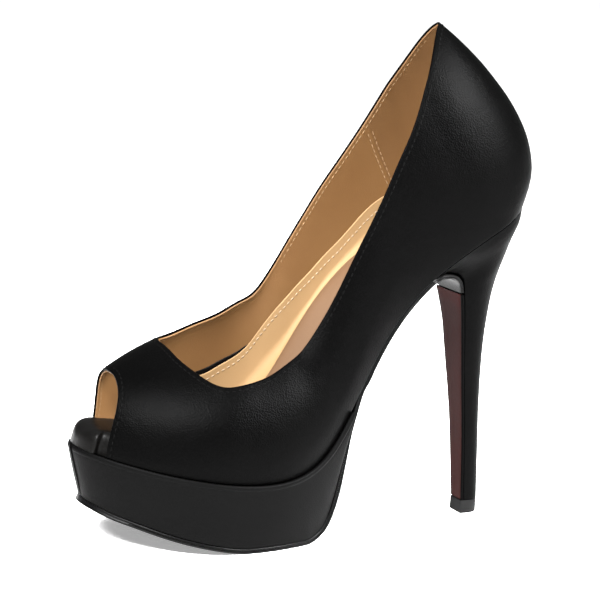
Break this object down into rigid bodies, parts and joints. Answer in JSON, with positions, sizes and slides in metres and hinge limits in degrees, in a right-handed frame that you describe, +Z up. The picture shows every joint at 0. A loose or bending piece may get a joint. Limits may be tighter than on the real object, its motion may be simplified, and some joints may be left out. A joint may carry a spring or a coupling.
{
  "type": "peep toe pump",
  "caption": "Black leather peep toe pump with a low cut collar, a covered platform and a high covered stiletto heel, left shoe.",
  "frame": {"origin": "on the floor at the middle of the heel tip's underside", "axes": "+X forward to the toe, +Y to the wearer's left, which is the outer side of this left shoe, +Z up"},
  "size_m": [0.2054, 0.077, 0.2189],
  "materials": {
    "upper_leather": "black satin smooth leather, tan leather lining inside",
    "insole_cover": "black satin leather cover over board and cushion",
    "sock_leather": "smooth tan lining leather, matt",
    "platform_wrap": "black satin leather wrap",
    "sole_leather": "black edge finished sole leather",
    "heel_wrap": "black satin leather wrap over the heel block",
    "breast_leather": "dark brown burnished sole leather",
    "tip_rubber": "matt black rubber"
  },
  "bodies": {
    "root": {"upper": "upper_leather", "insole": "insole_cover", "sock": "sock_leather", "platform": "platform_wrap", "outsole": "sole_leather", "heel": "heel_wrap", "breast_cover": "breast_leather", "top_piece": "tip_rubber"}
  },
  "joints": []
}
